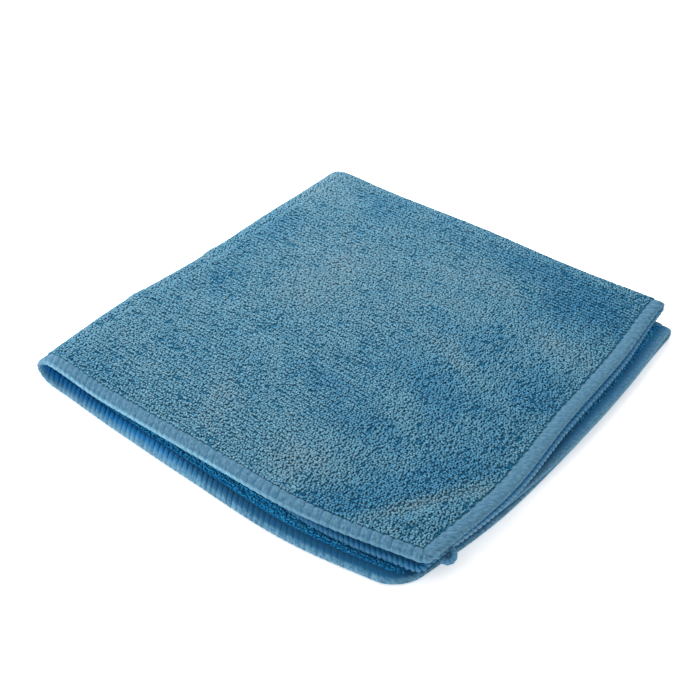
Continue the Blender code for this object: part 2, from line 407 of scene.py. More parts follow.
def terry_yarn():
    """Painted shade in the gaps to a painted highlight on the tips by the first mark; flattened colours by
    the second.
    """
    material, nodes, links, shader = new_material("terry_yarn")
    shade, crush, stand, deep = four_marks(nodes, links)
    low = mixed(nodes, links, ramped(nodes, links, shade, 0.0, 0.6), YARN_GAP_SHADE, YARN_BODY)
    standing_colour = mixed(nodes, links, ramped(nodes, links, shade, 0.6, 1.0), low, YARN_LIT_TIP)
    flat_colour = mixed(nodes, links, ramped(nodes, links, shade, 0.0, 1.0), FLAT_GAP_SHADE, FLAT_LIT_TIP)
    colour = mixed(nodes, links, crush, standing_colour, flat_colour)
    colour = mixed(nodes, links, stand, colour, STANDING_PAINTED_SHADE, "MULTIPLY")
    colour = mixed(nodes, links, deep, colour, BOUNCE_BLUE_TINT, "MULTIPLY")
    place = nodes.new("ShaderNodeTexCoord").outputs["Object"]
    cloud = noise(nodes, links, place, CLOUD_SCALE, 2)
    tint = mixed(nodes, links, ramped(nodes, links, cloud, 0.3, 0.7), *CLOUD_TINTS)
    colour = mixed(nodes, links, 1.0, colour, tint, "MULTIPLY")
    fibre = noise(nodes, links, place, FIBRE_SCALE, 3)
    dull_fibre(nodes, links, shader, colour, YARN_SETTINGS, YARN_SHEEN_TINT, fibre, YARN_BUMP)
    return material


yarn = terry_yarn()
print("material:", yarn.name)

# %% [markdown]
# ## Where the pile lies flat
#
# Handling flattens terry in patches of 20 to 50 mm.  There its loops lie down and look pale and grey.
# Between them the pile stands up, and its rows and the deep gaps between them show darker and bluer, with
# painted shade.  The patches are placed from the photograph, as one more table of oval bells: a crush above
# 0 is flattened, below 0 is standing.  Small patches from a few crossed waves fill in between, as on any
# used cloth.

# %% Patches of the top layer, in millimetres
PATCH_COLUMNS = ("name", "across", "along", "half_length", "half_width", "bearing", "crush")
PATCHES = (
    ("back right corner, standing", 178, 25, 24, 15, -10, -1.3),
    ("back edge, standing", 140, 12, 26, 9, 0, -0.8),
    ("back edge, small", 108, 14, 9, 8, 0, -0.4),
    ("back edge, small", 82, 10, 9, 8, 0, -0.5),
    ("back edge, left", 48, 15, 16, 12, 0, -0.6),
    ("by the right hem", 188, 93, 12, 16, -60, -0.7),
    ("right of the middle", 151, 71, 9, 7, 0, -0.5),
    ("above the middle", 127, 78, 12, 7, 0, -0.45),
    ("standing row of the middle", 141, 109, 24, 9, -8, -0.8),
    ("dark spot of that row", 161, 120, 8, 7, 0, -0.6),
    ("below the middle", 115, 134, 22, 8, -4, -0.7),
    ("below the middle, right", 138, 147, 18, 8, -10, -0.6),
    ("dark bowl of the front corner", 168, 176, 18, 9, 45, -1.1),
    ("dark bowl of the front corner, right", 180, 154, 14, 8, 60, -1.0),
    ("front hem, left of the bowl", 158, 188, 14, 8, 0, -0.7),
    ("left of the front", 65, 151, 14, 9, 20, -0.4),
    ("left fold, middle", 28, 106, 12, 10, -40, -0.5),
    ("left fold, back", 20, 62, 10, 28, 0, -0.45),
    ("front left corner, rows", 22, 184, 24, 9, 0, -0.55),
    ("right hem, front", 188, 144, 8, 7, 0, -0.5),
    ("back left corner, flat", 18, 22, 16, 20, 30, 0.8),
    ("broad flat of the left", 64, 68, 24, 24, 0, 0.75),
    ("flat of the left, lower", 62, 96, 22, 14, 10, 0.45),
    ("flat below the back edge", 125, 37, 22, 9, 10, 0.7),
    ("flat above the middle", 120, 61, 26, 6, 5, 0.5),
    ("pale flat by the right hem", 182, 60, 24, 8, -12, 1.0),
    ("soft crease, left", 118, 83, 24, 3.5, 0, 0.7),
    ("soft crease, right", 157, 94, 26, 4, -24, 0.9),
    ("flat by the front hem", 134, 174, 18, 12, 0, 0.9),
    ("flat streak near the front", 84, 168, 20, 6, -55, 0.7),
    ("flat by the left fold", 31, 170, 14, 10, 0, 0.4),
    ("pressed trough of the front corner", 184, 168, 30, 3.2, 58, 1.7),
    ("small flat in the bowl", 147, 131, 8, 6, 0, 0.6),
    ("right half, standing a little", 175, 120, 38, 75, 0, -0.45),
)

# %% How flat the pile is at any place
WAVE_COLUMNS = ("length", "bearing", "start", "share")
WAVES = (
    (37, 20, 0.3, 0.16),
    (23, -48, 1.9, 0.16),
    (17, 81, 4.1, 0.15),
    (12, 141, 2.2, 0.13),
    (8.3, 33, 5.2, 0.12),
    (6.1, -70, 0.9, 0.12),
)
WAVE_BEND = 1.7
WAVE_BEND_LENGTH = 27 * MM
WAVES_SHARE = 0.5
PATCHES_SHARE = 0.9
PATCHES_ACROSS = (0, 8 * MM)
PATCHES_ALONG = (-2 * MM, 2 * MM)


def crushed(across, along):
    """Six crossed waves, and on the top layer the patches: about 0 for even pile, to -1 and to 1."""
    total = np.zeros_like(across)
    for row in WAVES:
        wave = dict(zip(WAVE_COLUMNS, row))
        bearing = np.radians(wave["bearing"])
        beside = across * np.sin(bearing * WAVE_BEND) - along * np.cos(bearing)
        bend = WAVE_BEND * np.sin(beside / WAVE_BEND_LENGTH)
        run = (across * np.cos(bearing) + along * np.sin(bearing)) / (wave["length"] * MM)
        total += wave["share"] * np.sin(2 * np.pi * run + wave["start"] + bend)
    on_top = ease(across, *PATCHES_ACROSS) * ease(along, *PATCHES_ALONG)
    patches = bells(across, along, PATCH_COLUMNS, PATCHES, "crush")
    return np.clip(total * WAVES_SHARE + patches * on_top * PATCHES_SHARE, -1, 1)


flattened = crushed(top_a, top_b) > 0.3
print(len(PATCHES), "patches; share of the top that is flattened:", round(float(flattened.mean()), 2))

# %% [markdown]
# ## The backing
#
# Under the pile is a thin knitted ground.  It is a grid on the flat cloth, folded by the formula, with an
# outer and an inner face and a rim that joins them, so it is one closed sheet.  The grid lines are close
# round the folds and wide over the flat parts.

# %% Grid lines of the backing
BACKING = 0.9 * MM
BODY_STEP = 7 * MM
FOLD_LINES = 16


def grid_lines(half, fold_reach):
    """From hem to hem: even steps round the fold's turn, then even steps of about BODY_STEP."""
    fold = np.linspace(0, fold_reach, FOLD_LINES // 2 + 1)
    body = np.linspace(fold_reach, half, int((half - fold_reach) / BODY_STEP) + 1)[1:]
    positive = np.concatenate((fold, body))
    return np.concatenate((-positive[:0:-1], positive))


def rounded(across, along):
    """Draws the grid's square corners in to quarter discs: u times the root of (1 - v squared / 2)."""
    radius = np.zeros_like(across)
    for row in CORNERS:
        corner = dict(zip(CORNER_COLUMNS, row))
        here = (across * corner["across"] >= 0) & (along * corner["along"] >= 0)
        radius = np.where(here, corner["radius"] * MM, radius)
    square_a = np.minimum(np.abs(across), HALF_ACROSS - radius)
    square_b = np.minimum(np.abs(along), HALF_ALONG - radius)
    u = (np.abs(across) - square_a) / radius
    v = (np.abs(along) - square_b) / radius
    disc_a = u * np.sqrt(1 - v * v / 2) * radius
    disc_b = v * np.sqrt(1 - u * u / 2) * radius
    return np.sign(across) * (square_a + disc_a), np.sign(along) * (square_b + disc_b)


# %% Build the backing
EDGE_INSET = 1.2 * MM
# The backing's shade mark is low: painted shade under the pile.
BACKING_SHADE = 0.30
# The backing's inner face between two layers is painted lighter and bluer with bounced light.
BETWEEN_PAINTED_LIGHT = 0.10
LEFT_TURN = 13 * MM
BACK_TURN = 3.5 * MM


def closed_sheet_faces(rows, columns):
    """Quads of the outer face, of the inner face turned over, and of the rim between them."""
    index = np.arange(rows * columns).reshape(rows, columns)
    under = rows * columns
    outer = np.stack((index[:-1, :-1], index[:-1, 1:], index[1:, 1:], index[1:, :-1]), axis=-1)
    outer = outer.reshape(-1, 4)
    edge = np.concatenate((index[:, 0], index[-1, 1:], index[-2::-1, -1], index[0, -2:0:-1]))
    after = np.roll(edge, -1)
    rim = np.stack((edge, after, after + under, edge + under), axis=-1)
    return np.concatenate((outer, outer[:, ::-1] + under, rim[:, ::-1]))


def backing_sheet():
    """The folded middle, moved outwards and inwards by half the backing's thickness."""
    lines_a = grid_lines(HALF_ACROSS, LEFT_TURN)
    lines_b = grid_lines(HALF_ALONG, BACK_TURN)
    across, along = rounded(*np.meshgrid(lines_a, lines_b, indexing="ij"))
    shrink = 1 - EDGE_INSET / HALF_ACROSS
    across, along = across * shrink, along * shrink
    middle, _, _, out = standing(across, along)
    points = np.concatenate([(middle + side * out * BACKING / 2).reshape(-1, 3) for side in (1, -1)])
    marks = np.zeros((2 * across.size, 4))
    between = ((across < 0) & (along > 0)).ravel()
    marks[:, 0] = BACKING_SHADE
    marks[:, 1] = np.tile(np.clip(crushed(across, along).ravel(), 0, 1), 2)
    marks[across.size:, 0] += BETWEEN_PAINTED_LIGHT * between
    marks[across.size:, 3] = between
    return put("cloth_backing", points, closed_sheet_faces(*across.shape), yarn, marks)


backing = backing_sheet()
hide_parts("cloth")

# %% [markdown]
# ## Loops of pile
#
# Terry pile is yarn that stands up from the ground in small loops, in rows about 2 mm apart with lower rows
# between them.  A picture painted on the sheet would go flat as soon as the view turned, and particles
# would not reach the exported model.  So each loop is real: a fat little arch of yarn with four sides,
# closed at both feet.  One arch is a small table of rings, and one array sum places thousands of copies,
# each with its own turn, lean, height and tone.
#
# Where the pile is flattened the arch is lower, wider and leans further.  Where it stands, every second row
# sinks between its neighbours, so the rows and the deep gaps between them show.  Loops also bunch together
# over a few millimetres, and a cloudy noise gives that.  A finer one, drawn out into strokes, sinks a loop
# here and there into a hole, and paints it darker with shade.  The strokes run across the cloth on the
# left.
# On the right it was raked the other way, and they run along it.  One table says how all this changes a
# loop.

# %% One arch
ARCH_SIDES = 4
ARCH_RINGS = 2
FOOT_SHARE = 0.62


def arch_faces(sides, rings):
    """Triangles of one arch: a fan at the first foot, bands between the rings, and a fan at the last."""
    ring = 1 + np.arange(sides * rings).reshape(rings, sides)
    after = np.roll(ring, -1, axis=1)
    last = 1 + sides * rings
    first_fan = np.stack((np.zeros(sides, int), after[0], ring[0]), axis=-1)
    low = np.stack((ring[:-1], after[:-1], after[1:]), axis=-1).reshape(-1, 3)
    high = np.stack((ring[:-1], after[1:], ring[1:]), axis=-1).reshape(-1, 3)
    last_fan = np.stack((np.full(sides, last), ring[-1], after[-1]), axis=-1)
    return np.concatenate((first_fan, low, high, last_fan))


def arch_points(width, height, radius, lean, twist, sides, rings):
    """Points of many arches, in each one's own (run, side, up) directions.

    With t from 0 to pi along the arch, its centre line is run = width / 2 times -cos t, up = height times
    sin t, side = lean times sin t, plus twist times cos t.  Each ring is a circle square to the line, and
    fattest at the top, where the feet are FOOT_SHARE of it.
    """
    t = np.linspace(0, np.pi, rings + 2)
    centre = np.stack((
        -width[:, None] / 2 * np.cos(t),
        lean[:, None] * np.sin(t) + twist[:, None] * np.cos(t),
        height[:, None] * np.sin(t),
    ), axis=-1)
    radial = np.stack((-np.cos(t), np.zeros_like(t), np.sin(t)), axis=-1)
    angle = 2 * np.pi * np.arange(sides) / sides + np.pi / 4
    spread = radius[:, None, None] * (FOOT_SHARE + (1 - FOOT_SHARE) * np.sin(t))[None, :, None]
    rings_at = (
        centre[:, :, None, :]
        + (spread * np.cos(angle))[..., None] * radial[None, :, None, :]
        + (spread * np.sin(angle))[..., None] * np.array((0, 1, 0))
    )
    body = rings_at[:, 1:-1].reshape(len(width), -1, 3)
    return np.concatenate((centre[:, :1], body, centre[:, -1:]), axis=1)


def standing_arches(foot, run, out, sizes, sides, rings):
    """(points, faces, heights) of an arch at each foot, which runs along `run` and stands along `out`."""
    local = arch_points(*sizes, sides, rings)
    beside = np.cross(out, run)
    points = (
        foot[:, None]
        + local[..., :1] * run[:, None]
        + local[..., 1:2] * beside[:, None]
        + local[..., 2:] * out[:, None]
    )
    count, per = points.shape[:2]
    faces = arch_faces(sides, rings)[None] + per * np.arange(count)[:, None, None]
    return points, faces.reshape(-1, 3), local[..., 2]


# %% Clouds of chance, with sizes in millimetres
CLOUD_COLUMNS = ("share", "size", "seed")
WANDERS = ((1.3, 38, 21), (0.4, 13, 22))
BUNCHES = ((0.6, 2.3, 11), (0.5, 4.6, 12))
KNOTS = 600


def cloudy(across, along, size, seed):
    """Noise from -1 to 1: chance values at the knots of a square net, eased from knot to knot."""
    knots = np.random.default_rng(seed).uniform(-1, 1, (KNOTS, KNOTS))
    row, column = across / size + KNOTS / 2, along / size + KNOTS / 2
    i, j = np.floor(row).astype(int), np.floor(column).astype(int)
    u, v = ease(row - i, 0, 1), ease(column - j, 0, 1)
    low = knots[i, j] * (1 - u) + knots[i + 1, j] * u
    high = knots[i, j + 1] * (1 - u) + knots[i + 1, j + 1] * u
    return low * (1 - v) + high * v


def clouds(across, along, rows):
    """The sum of several clouds, each times its share."""
    total = 0
    for row in rows:
        cloud = dict(zip(CLOUD_COLUMNS, row))
        total = total + cloud["share"] * cloudy(across, along, cloud["size"] * MM, cloud["seed"])
    return total


# %% Rows of places for the loops
ROW_STEP = 1.00 * MM
LOOP_STEP = 1.08 * MM
JITTER = (0.40 * MM, 0.20 * MM)
WANDER_MARGIN = 12 * MM
chance = np.random.default_rng(7)


def loop_places(low_a, high_a, low_b, high_b, coarser=1.0):
    """Staggered rows of places on the flat cloth, each moved a little, and whether its row is a low one."""
    rows = np.arange(low_b, high_b, ROW_STEP * coarser)
    steps = np.arange(low_a, high_a, LOOP_STEP * coarser)
    across, along = np.meshgrid(steps, rows)
    low_row = np.broadcast_to((np.arange(len(rows)) % 2)[:, None], across.shape)
    across = across + low_row * LOOP_STEP * coarser / 2
    across = across + chance.uniform(-JITTER[0], JITTER[0], across.shape)
    along = along + chance.uniform(-JITTER[1], JITTER[1], along.shape)
    inside = ease(along, low_b, low_b + WANDER_MARGIN) * ease(-along, -high_b, -high_b + WANDER_MARGIN)
    along = along + inside * clouds(across, along, WANDERS) * MM
    return across.ravel(), along.ravel(), low_row.ravel()


# %% How a loop stands, by what its place is like
LOOP_COLUMNS = ("measure", "even", "flat", "standing", "raked")
LOOP_MEASURES = (
    ("width", 0.95, 0.30, 0, 0),
    ("height", 0.66, -0.20, 0.04, 0),
    ("radius", 0.54, 0.05, 0, 0),
    ("lean", 0.20, 0.20, 0, 0),
    ("turn", 14, 45, 0, 0),
    ("row_depth", 0.22, -0.18, 0.12, 0),
    ("row_kept", 1.0, 0, 0, -0.8),
    ("hole_kept", 1.0, -0.7, 0, 0),
    ("hole_depth", 0.50, 0, 0, 0.06),
    # The last two rows paint shade: in the holes, and by the height at which the feet's painted shade
    # starts.
    ("hole_shade", 0.32, 0, 0, 0.16),
    ("foot_shade", 0.02, -0.25, 0.06, 0),
)
SPREADS = {"width": 0.25, "height": 0.14, "radius": 0.15, "twist": 0.25, "tone": 0.10}
RAKED_ACROSS = (110 * MM, 150 * MM)
RAKED_ALONG = (30 * MM, 65 * MM)
RAKE_TURN = np.radians(75)
STROKE_SIZE = (2.4, 0.9 * MM)
STROKE_SEEDS = (31, 32)
HOLE_STARTS = (0.4, 0.8)
BACK_FOLD_ROUGH = 0.25
BACK_FOLD_REACH = (3 * MM, 10 * MM)
BUNCHED = 0.05


def about_one(measure, count, share=1.0):
    """Chance factors within the measure's spread of 1."""
    spread = SPREADS[measure] * share
    return chance.uniform(1 - spread, 1 + spread, count)


def measured(flat, stand, raked):
    """Each measure: its even value, plus its changes times how flat, upright and raked a place is."""
    place = {"even": 1, "flat": flat, "standing": stand, "raked": raked}
    here = {}
    for row in LOOP_MEASURES:
        measure = dict(zip(LOOP_COLUMNS, row))
        here[measure["measure"]] = sum(measure[column] * place[column] for column in place)
    return here


# %% Painted shade and light of a loop, by its height and by where it is
LIT_TIP_HEIGHT = 1.3
# The right half of the top is painted darker, as the light falls off towards it, and the pile between
# layers near the front corner is painted with shade.
RIGHT_HALF = (100 * MM, 165 * MM)
RIGHT_HALF_PAINTED_SHADE = 0.14
FROM_CORNER = (-190 * MM, -130 * MM)
CORNER_PAINTED_SHADE = 0.4
CORNER_BOUNCE_BLUE = 0.75


# %% A piece of pile


def loops(name, across, along, low_row, side, sides=ARCH_SIDES, larger=1.0, even=0.0, deep=0.0):
    """A piece of pile: an arch at each place, on the outer face for side 1 and the inner for -1.

    `even` from 0 to 1 takes away the unevenness, for a fold whose pile shows as an outline.  `deep` from 0
    to 1 is how far the pile lies between two layers, and paints on it the blue light that arrives there
    only from blue to blue.
    """
    count = len(across)
    middle, run_a, run_b, out = standing(across, along)
    out = out * side
    crush = crushed(across, along)
    flat, stand = np.clip(crush, 0, 1), np.clip(-crush, 0, 1)
    raked = ease(across, *RAKED_ACROSS) * ease(along, *RAKED_ALONG)
    here = measured(flat, stand, raked)
    bunch = clouds(across, along, BUNCHES)
    longer, size = STROKE_SIZE
    stroke = cloudy(across / longer, along, size, STROKE_SEEDS[0]) * (1 - raked)
    stroke += cloudy(across, along / longer, size, STROKE_SEEDS[1]) * raked
    hole = ease(stroke, *HOLE_STARTS) * here["hole_kept"]
    rough = BACK_FOLD_ROUGH + (1 - BACK_FOLD_ROUGH) * ease(np.abs(along), *BACK_FOLD_REACH)
    rough = rough * (1 - even)
    turn = RAKE_TURN * raked + chance.normal(0, 1, count) * np.radians(here["turn"])
    run = run_a * np.cos(turn)[:, None] + run_b * np.sin(turn)[:, None]
    width = about_one("width", count) * here["width"] * larger * MM
    sunk = low_row * here["row_kept"] * here["row_depth"] + here["hole_depth"] * hole
    height = here["height"] + (BUNCHED * bunch - sunk) * rough
    height = about_one("height", count, rough) * height * MM
    radius = about_one("radius", count) * here["radius"] * larger * MM
    lean = here["lean"] * chance.normal(0, 1, count) * rough * MM
    twist = chance.normal(0, SPREADS["twist"], count) * MM
    sizes = (width, height, radius, lean, twist)
    points, faces, up = standing_arches(middle + out * BACKING / 2, run, out, sizes, sides, ARCH_RINGS)
    from_corner = ease(across, *FROM_CORNER)
    # Besides a random tone, holes are painted darker with shade and higher bunches painted lighter.
    tone = SPREADS["tone"] * chance.normal(0, 1, count) + BUNCHED * bunch - here["hole_shade"] * hole
    # Painted shade on the right half and near the front corner.
    tone -= RIGHT_HALF_PAINTED_SHADE * ease(across, *RIGHT_HALF) + CORNER_PAINTED_SHADE * deep * (1 - from_corner)
    marks = np.zeros((*up.shape, 4))
    # Painted shade and light: the mark rises with each point's height, from painted shade at the feet to a
    # painted highlight on the tips.
    shade = (up / MM - here["foot_shade"][:, None]) / LIT_TIP_HEIGHT
    marks[..., 0] = np.clip(shade + tone[:, None], 0, 1)
    marks[..., 1] = flat[:, None]
    marks[..., 2] = stand[:, None]
    marks[..., 3] = deep * (CORNER_BOUNCE_BLUE + (1 - CORNER_BOUNCE_BLUE) * from_corner)[:, None]
    return put(name, points.reshape(-1, 3), faces, yarn, marks.reshape(-1, 4))


# %% Pile of the top, in three pieces
PILE_EDGE = 6.9 * MM
PILE_EDGE_FRONT = 5.9 * MM
FOLD_HALF = 3 * MM
TOP_PIECES = 3
top_edges = np.linspace(FOLD_HALF, HALF_ALONG - PILE_EDGE_FRONT, TOP_PIECES + 1)
for number in range(TOP_PIECES):
    places = loop_places(LEFT_TURN, HALF_ACROSS - PILE_EDGE, *top_edges[number:number + 2])
    loops(f"pile_top_{number + 1}", *places, 1)

# %% [markdown]
# The folds carry pile round their outside, a little larger and more even, since it shows as an outline.
# The strips that show past the layer above have theirs too.  The underside gets coarser arches, since it
# lies on the table.

# %% Pile of the folds, the strips that show, and the underside
SHOWN = 18 * MM
FOLD_LARGER = 1.05
BACK_LARGER = 0.15
FOLD_EVEN = 0.5
UNDERSIDE_COARSER = 2.2
UNDERSIDE_LARGER = 1.9
UNDERSIDE_SIDES = 3
edge_a, edge_b = HALF_ACROSS - PILE_EDGE_FRONT, HALF_ALONG - PILE_EDGE_FRONT


def joined(*areas):
    """The places of several areas, one after the other."""
    return [np.concatenate(column) for column in zip(*areas)]


left_fold = loop_places(-LEFT_TURN, LEFT_TURN, FOLD_HALF, edge_b)
back_fold = loop_places(-edge_a, edge_a, -FOLD_HALF, FOLD_HALF)
folds = joined(left_fold, back_fold)
on_back = np.abs(folds[1]) < FOLD_HALF + JITTER[1]
larger, even = FOLD_LARGER + BACK_LARGER * on_back, FOLD_EVEN + (1 - FOLD_EVEN) * on_back
loops("pile_folds", *folds, 1, larger=larger, even=even)

front_strip = loop_places(-edge_a, 0, edge_b - SHOWN, edge_b)
right_strip = loop_places(-edge_a, -edge_a + SHOWN / 2, FOLD_HALF, edge_b - SHOWN)
loops("pile_bottom_strips", *joined(front_strip, right_strip), -1, deep=1.0)

right_strip = loop_places(-edge_a, -edge_a + SHOWN / 2, -edge_b, -FOLD_HALF)
front_strip = loop_places(-edge_a, 0, -edge_b, -edge_b + SHOWN / 4)
loops("pile_third_strips", *joined(right_strip, front_strip), 1, deep=1.0)

underside = loop_places(-edge_a, -LEFT_TURN, FOLD_HALF, edge_b, coarser=UNDERSIDE_COARSER)
loops("pile_underside", *underside, 1, sides=UNDERSIDE_SIDES, larger=UNDERSIDE_LARGER)

# %% [markdown]
# ## The overlocked hem
#
# The four edges are bound by an overlock stitch.  Its soft thread wraps the edge every two to four
# millimetres, and each wrap is a small round rib, so the rim is a row of cords side by side.  The band is
# one closed surface: a flat oval profile is carried along the cloth's rounded edge, and its thickness rises
# and falls with the ribs.  The wraps go round like a screw, so the ribs slant one way on the outer face and
# further the other way on the inner one.  Where the cloth was pressed on the right the ribs are nearly
# smooth, and near the front corner they are bold, so a short table gives their strength along each side.

# %% The path of the edge
PATH_STEP = 0.1 * MM
RIB_PITCH = (2.9 * MM, 4.2 * MM)
SECOND_PITCH = 2.4 * MM
RIB_PHASES = np.array((0.0, 0.10, 0.30, 0.52, 0.74, 0.91))
CORNER_POINTS = 60


def edge_path():
    """Points (across, along) of the rounded edge, its outward directions, and its length so far."""
    quarter = np.linspace(0, np.pi / 2, CORNER_POINTS)
    points, angle = [], []
    for number, row in enumerate((CORNERS[0], CORNERS[3], CORNERS[2], CORNERS[1], CORNERS[0])):
        corner = dict(zip(CORNER_COLUMNS, row))
        radius = corner["radius"] * MM
        centre = ((HALF_ACROSS - radius) * corner["across"], (HALF_ALONG - radius) * corner["along"])
        turn = (quarter + number * np.pi / 2)[: 1 if number == 4 else None]
        points.append(np.stack((np.cos(turn), np.sin(turn)), axis=-1) * radius + centre)
        angle.append(turn)
    points, angle = np.concatenate(points), np.concatenate(angle)
    length = np.concatenate(([0], np.cumsum(np.linalg.norm(np.diff(points, axis=0), axis=1))))
    even = np.linspace(0, length[-1], int(length[-1] / PATH_STEP))
    path = np.stack([np.interp(even, length, points[:, k]) for k in (0, 1)], axis=-1)
    turn = np.interp(even, length, angle)
    return path, np.stack((np.cos(turn), np.sin(turn)), axis=-1), even


path, facing, path_length = edge_path()
pitch = RIB_PITCH[0] + (RIB_PITCH[1] - RIB_PITCH[0]) * ease(path[:, 0], 0, HALF_ACROSS)
pitch = np.where((path[:, 0] > 0) & (path[:, 1] < 0), SECOND_PITCH, pitch)
rib_phase = np.concatenate(([0], np.cumsum(np.diff(path_length) / pitch[1:])))
rib_count = int(round(rib_phase[-1]))
rib_phase = rib_phase * rib_count / rib_phase[-1]
print("edge:", round(path_length[-1], 3), "m,", rib_count, "ribs")

# %% How bold the ribs are, as oval bells in millimetres
RIB_COLUMNS = ("name", "across", "along", "half_length", "half_width", "bearing", "bold", "scallop")
RIBS = (
    ("front hem of the top, left", 55, 196, 75, 30, 0, 0.60, 0.35),
    ("front hem of the top, by the corner", 175, 196, 55, 30, 0, 0.85, 0.5),
    ("front hem of the bottom", -80, 196, 95, 30, 0, 1.0, 0.4),
    ("right hem of the second", 204, -95, 30, 120, 0, 0.9, 2.2),
    ("front hem of the second", 120, -196, 110, 30, 0, 0.9, 1.0),
)
RIB_LEAST = 0.12
RIB_MOST = 1.1
RIB_UNEVEN = 0.25

# %% The band's profile and its places, in millimetres
PROFILE_COLUMNS = ("from_edge", "half")
PROFILE = (
    (6.3, 0.35),
    (5.9, 0.78),
    (5.1, 1.04),
    (3.8, 1.16),
    (2.4, 1.16),
    (1.2, 1.04),
    (0.35, 0.72),
    (0.0, 0.0),
)
profile = dict(zip(PROFILE_COLUMNS, np.array(PROFILE).T * MM))
RIB_HEIGHT = 0.42 * MM
RIB_LEVEL = 0.7
RIB_STARTS = (0.3 * MM, 0.9 * MM)
RIB_SLANTS = (0.45, 0.78)
SCALLOP = 0.65 * MM
SCALLOP_LEVEL = 0.8
SCALLOP_WIDTH = 2.6 * MM
SCALLOP_MOST = 0.2 * MM
CORNER_SQUEEZE = 0.03


def kept_from_crossing(value, half, inset):
    """Past the inset line of the other side a point moves on only a little, so a tight corner is mitred."""
    past = np.clip(np.abs(value) - (half - inset), 0, None)
    return value - np.sign(value) * past * (1 - CORNER_SQUEEZE)


def along_edge(place, inset):
    """(across, along) at lengths along the edge, moved in by inset."""
    place = place % path_length[-1]
    edge_a, edge_b, out_a, out_b = (
        np.interp(place, path_length, column) for column in (*path.T, *facing.T)
    )
    across = kept_from_crossing(edge_a - out_a * inset, HALF_ACROSS, inset)
    return across, kept_from_crossing(edge_b - out_b * inset, HALF_ALONG, inset)


# %% [markdown]
# Light reaches each hem in its own way, and so does wear, and this light and shade is painted into the
# thread's colour.  The top's are painted pale, with a painted highlight along the front rim.  The hems
# inside are painted deep blue with bounced light, and painted with shade.  The bottom's front hem is
# painted lit by the left fold, and painted with shade and blotchy towards the corner.  One more table says
# so, and each rib
# takes a mix of its rows: `rim` is the painted highlight on the edge, `deep` the painted blue bounce light
# on the inner face, `shade` the painted shade away from the edge, `dim` painted shade over all of it, and
# `blotch` how blotchy it is.

# %% The colours of each hem
HEM_COLUMNS = ("place", "rim", "deep", "shade", "dim", "blotch")
HEM_LIGHT_AND_WEAR = (
    ("top, front", 0.50, 1.0, 0.0, 0.0, 0.6),
    ("top, front, on the bright line", 0.95, 1.0, 0.0, 0.0, 0.6),
    ("top, right", 0.30, 1.0, 0.0, 0.0, 0.6),
    ("bottom, by the left fold", 0.68, 1.0, 0.0, 0.0, 0.6),
    ("bottom, elsewhere", 0.68, 0.25, 0.75, 0.30, 1.0),
    ("second, front", 0.15, 1.0, 0.85, 0.35, 0.6),
    ("second, right", 0.60, 1.0, 0.85, 0.0, 0.6),
    ("third", 0.40, 0.2, 0.75, 0.0, 0.6),
)
FRONT_HEM = HALF_ALONG - 8 * MM
BY_LEFT_FOLD = (-150 * MM, -50 * MM)
# Where the painted highlight line along the top's front rim runs, and how far the painted rim highlight
# reaches; on the bottom it is wider and streaked.
HIGHLIGHT_LINE_ENDS = ((2 * MM, 14 * MM), (110 * MM, 170 * MM))
RIM_ENDS = (0.2 * MM, 1.0 * MM)
STREAK_WIDTH = 5.5 * MM
STREAK_SHARES = (0.45, 0.7)
# Where the painted blue bounce light on the inner face and the painted shade away from the edge begin.
DEEP_STARTS = (0.3 * MM, 4.0 * MM)
SHADE_STARTS = (0.3 * MM, 3.6 * MM)
GROOVE_SHADE = 0.75
GROOVE_SPARED = 0.3
SECOND_DEEP = 0.55
SECOND_RIM_DEEP = (-0.5, -0.3)


def hem_marks(edge_a, edge_b, from_edge, half, grooves, streak):
    """Red: 1 less painted groove and edge shade; green: painted rim highlight; blue: painted bounce light;
    alpha: blotches.
    """
    top, second = (edge_a > 0) & (edge_b > 0), (edge_a > 0) & (edge_b < 0)
    third, bottom = (edge_a < 0) & (edge_b < 0), (edge_a < 0) & (edge_b > 0)
    by_left = ease(edge_a, *BY_LEFT_FOLD)
    line = ease(edge_a, *HIGHLIGHT_LINE_ENDS[0]) * (1 - ease(edge_a, *HIGHLIGHT_LINE_ENDS[1]))
    front, second_front = top & (edge_b > FRONT_HEM), second & (edge_b < -FRONT_HEM)
    shares = np.stack((
        front * (1 - line), front * line, top & ~front, bottom * by_left, bottom * (1 - by_left),
        second_front, second & ~second_front, third,
    ), axis=-1)
    light_and_wear = shares @ np.array([row[1:] for row in HEM_LIGHT_AND_WEAR])
    rim, deep, shade, dim, blotch = (light_and_wear[:, [k]] for k in range(len(HEM_COLUMNS) - 1))

    near_rim = 1 - ease(from_edge, *RIM_ENDS) + 0 * rim
    even, streaked = STREAK_SHARES
    wide_rim = (1 - ease(from_edge, 0, STREAK_WIDTH)) * (even + streaked * streak)[:, None]
    near_rim = np.where(bottom[:, None], wide_rim, near_rim)
    under = ease(from_edge, *DEEP_STARTS)[None] * (1 - top[:, None] * (half > 0)[None])
    at_rim = np.where(second_front, SECOND_RIM_DEEP[1], SECOND_RIM_DEEP[0])[:, None]
    under = np.where(second[:, None], SECOND_DEEP + at_rim * near_rim, under)
    marks = np.zeros((*near_rim.shape, 4))
    # Painted shade: darker in the grooves, less so at the rim and on the bottom, and darker away from the
    # edge and over whole hems.
    marks[..., 0] = 1 - (GROOVE_SHADE - GROOVE_SPARED * (near_rim + bottom[:, None])) * grooves
    marks[..., 0] -= shade * ease(from_edge, *SHADE_STARTS)[None] + dim
    # Painted highlight on the rim.
    marks[..., 1] = rim * near_rim
    # Painted blue bounce light on the inner face.
    marks[..., 2] = deep * under
    marks[..., 3] = blotch
    return marks


# %% Build the band


